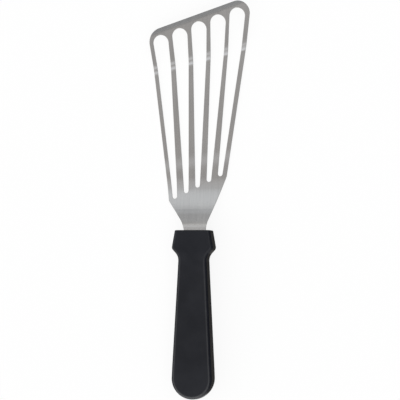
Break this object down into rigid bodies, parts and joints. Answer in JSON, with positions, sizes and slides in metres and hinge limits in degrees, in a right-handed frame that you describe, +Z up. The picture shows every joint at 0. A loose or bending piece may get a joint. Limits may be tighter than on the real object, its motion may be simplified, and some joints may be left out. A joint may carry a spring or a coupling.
{
  "type": "fish spatula",
  "caption": "Thin slotted steel turner blade with a slanted, upturned front edge, cranked down from a moulded straight plastic handle.",
  "frame": {"origin": "middle of the part's bounding box in plan, at the height of the table it lies on", "axes": "+Y from the handle's butt towards the blade's front edge, +Z up out of the blade's upper side, +X to the right, towards the longer front corner"},
  "size_m": [0.0788, 0.3024, 0.016],
  "materials": {
    "blade_steel": "brushed lengthwise",
    "handle_plastic": "fine moulded grain"
  },
  "bodies": {
    "root": {"blade": "blade_steel", "handle": "handle_plastic"}
  },
  "joints": []
}
